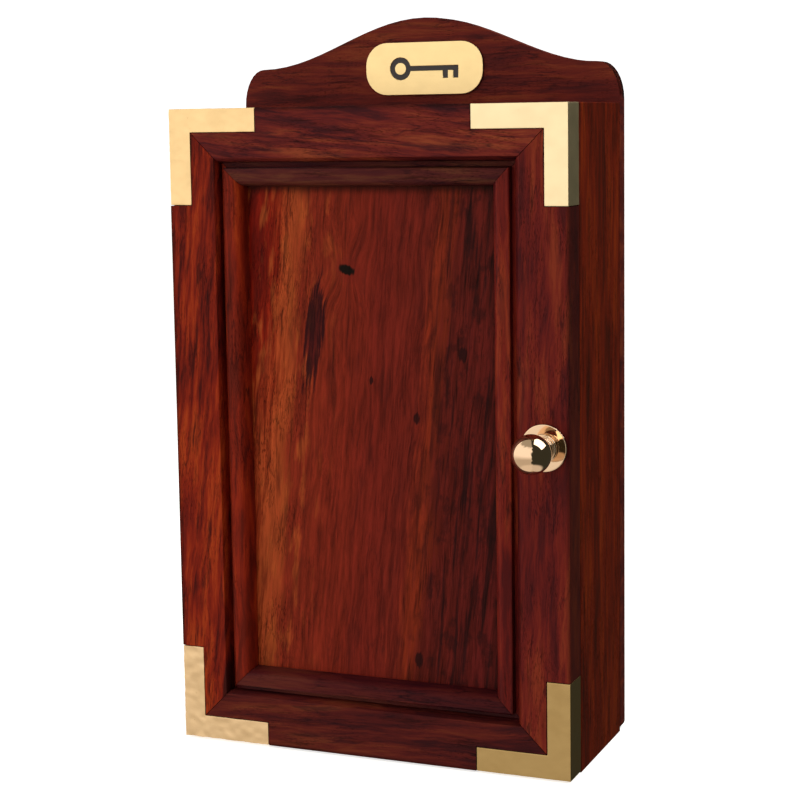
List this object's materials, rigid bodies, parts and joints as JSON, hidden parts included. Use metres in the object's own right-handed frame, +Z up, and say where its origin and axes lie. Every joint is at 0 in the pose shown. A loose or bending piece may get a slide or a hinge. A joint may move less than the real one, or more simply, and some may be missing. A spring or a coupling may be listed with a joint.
{
  "type": "key cabinet",
  "caption": "Wall-hung wooden cabinet with a hinged framed door, brass corners, a ball knob, a crowned back board and hooks for keys inside.",
  "frame": {"origin": "on the wall plane, midway between the two hanging points (the tops of the keyhole slots), at the middle of the cabinet's width", "axes": "+X to the right as one faces the door, +Y into the wall, +Z up"},
  "size_m": [0.2249, 0.1296, 0.389],
  "materials": {
    "rosewood": "reddish-brown Indian rosewood, stained and lacquered to a satin gloss",
    "panel_wood": "figured rosewood with orange-brown and dark streaks, satin gloss",
    "brass_corners": "pale brass, lightly brushed, with small dents",
    "polished_brass": "polished",
    "plain_brass": "plain pressed brass, slightly dulled",
    "steel": "plated steel"
  },
  "bodies": {
    "cabinet": {"back_board": "rosewood", "back_screw_lower_left": "plain_brass", "back_screw_lower_right": "plain_brass", "back_screw_upper_left": "plain_brass", "back_screw_upper_right": "plain_brass", "bottom_panel": "rosewood", "catch_magnet": "steel", "hanger_left": "plain_brass", "hanger_right": "plain_brass", "hanger_screw_left_lower": "plain_brass", "hanger_screw_left_upper": "plain_brass", "hanger_screw_right_lower": "plain_brass", "hanger_screw_right_upper": "plain_brass", "hinge_lower_box_leaf": "plain_brass", "hinge_lower_box_screw_1": "plain_brass", "hinge_lower_box_screw_2": "plain_brass", "hinge_lower_pin": "plain_brass", "hinge_upper_box_leaf": "plain_brass", "hinge_upper_box_screw_1": "plain_brass", "hinge_upper_box_screw_2": "plain_brass", "hinge_upper_pin": "plain_brass", "key_hook_row1_1": "plain_brass", "key_hook_row1_2": "plain_brass", "key_hook_row1_3": "plain_brass", "key_hook_row2_1": "plain_brass", "key_hook_row2_2": "plain_brass", "key_hook_row2_3": "plain_brass", "key_hook_row3_1": "plain_brass", "key_hook_row3_2": "plain_brass", "key_hook_row3_3": "plain_brass", "name_plate": "brass_corners", "side_panel_left": "rosewood", "side_panel_right": "rosewood", "top_panel": "rosewood"},
    "door": {"corner_bottom_left": "brass_corners", "corner_bottom_right": "brass_corners", "corner_top_left": "brass_corners", "corner_top_right": "brass_corners", "door_panel": "panel_wood", "door_rail_bottom": "rosewood", "door_rail_top": "rosewood", "door_stile_left": "rosewood", "door_stile_right": "rosewood", "hinge_lower_door_leaf": "plain_brass", "hinge_lower_door_screw_1": "plain_brass", "hinge_lower_door_screw_2": "plain_brass", "hinge_upper_door_leaf": "plain_brass", "hinge_upper_door_screw_1": "plain_brass", "hinge_upper_door_screw_2": "plain_brass", "knob": "polished_brass", "knob_rose": "polished_brass", "knob_screw": "steel", "moulding_bottom": "rosewood", "moulding_left": "rosewood", "moulding_right": "rosewood", "moulding_top": "rosewood", "strike_plate": "steel", "strike_screw": "steel"}
  },
  "joints": [
    {"name": "door_hinge", "type": "hinge", "parent": "cabinet", "child": "door", "pos_m": [-0.1125, -0.08135, -0.129], "axis": [0, 0, -1], "range_deg": [0, 180]}
  ]
}
